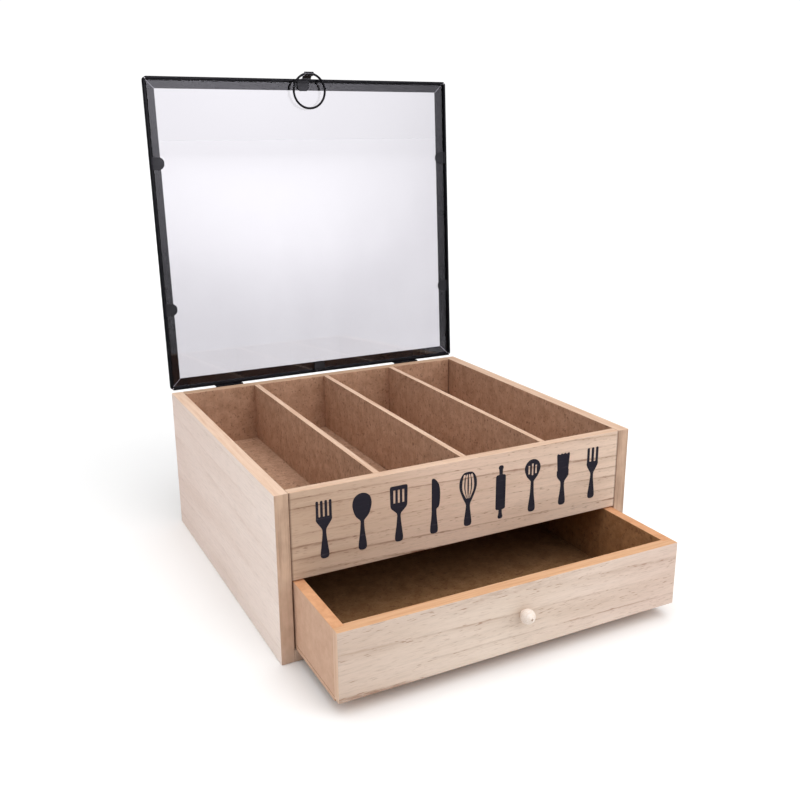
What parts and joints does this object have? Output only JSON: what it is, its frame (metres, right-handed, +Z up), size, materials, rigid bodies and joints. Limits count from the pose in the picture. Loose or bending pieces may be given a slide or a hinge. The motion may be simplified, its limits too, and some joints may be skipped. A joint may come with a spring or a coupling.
{
  "type": "utensil caddy with drawer",
  "caption": "Wooden caddy with long open compartments above a drawer, and a hinged glass lid in a black metal frame lifted by a ring.",
  "frame": {"origin": "centre of the box's footprint, on the surface it stands on", "axes": "+X to the right of someone facing the drawer, +Y towards the hinges, +Z up"},
  "size_m": [0.28, 0.3643, 0.3832],
  "materials": {
    "pale_veneer": "matt, fine horizontal grain, sanded edges",
    "hardboard": "matt brown fibreboard",
    "fibreboard": "matt, orange-brown sawn edges",
    "turned_wood": "smooth, pale, lightly waxed",
    "black_metal": "satin black",
    "steel": "darkened",
    "clear_glass": "clear"
  },
  "bodies": {
    "carcass": {"side_panel_left": "pale_veneer", "side_panel_right": "pale_veneer", "front_panel": "pale_veneer", "back_panel": "pale_veneer", "base_panel": "pale_veneer", "tray_floor": "hardboard", "divider_left": "hardboard", "divider_centre": "hardboard", "divider_right": "hardboard", "hinge_box_leaf_left": "black_metal", "hinge_box_leaf_right": "black_metal", "hinge_pin_left": "steel", "hinge_pin_right": "steel", "hinge_screws": "steel"},
    "drawer": {"drawer_front": "pale_veneer", "drawer_side_left": "fibreboard", "drawer_side_right": "fibreboard", "drawer_back": "fibreboard", "drawer_bottom": "hardboard", "drawer_knob": "turned_wood", "knob_screw": "steel"},
    "lid": {"lid_rail_front": "black_metal", "lid_rail_rear": "black_metal", "lid_rail_left": "black_metal", "lid_rail_right": "black_metal", "lid_glass": "clear_glass", "glass_tabs": "black_metal", "hinge_lid_leaf_left": "black_metal", "hinge_lid_leaf_right": "black_metal", "ring_clip": "black_metal"},
    "ring": {"pull_ring": "black_metal"}
  },
  "joints": [
    {"name": "drawer_slide", "type": "slide", "parent": "carcass", "child": "drawer", "axis": [0, -1, 0], "range_m": [-0.0695, 0.11]},
    {"name": "lid_hinge", "type": "hinge", "parent": "carcass", "child": "lid", "pos_m": [0, 0.132, 0.118], "axis": [1, 0, 0], "range_deg": [0, 93.3]},
    {"name": "ring_swing", "type": "hinge", "parent": "lid", "child": "ring", "pos_m": [0.0015, 0.14409, 0.38154], "axis": [1, 0, 0], "range_deg": [-93.3, 0]}
  ],
  "couplings": [
    {"joint": "ring_swing", "follows": "lid_hinge", "ratio": -1}
  ]
}
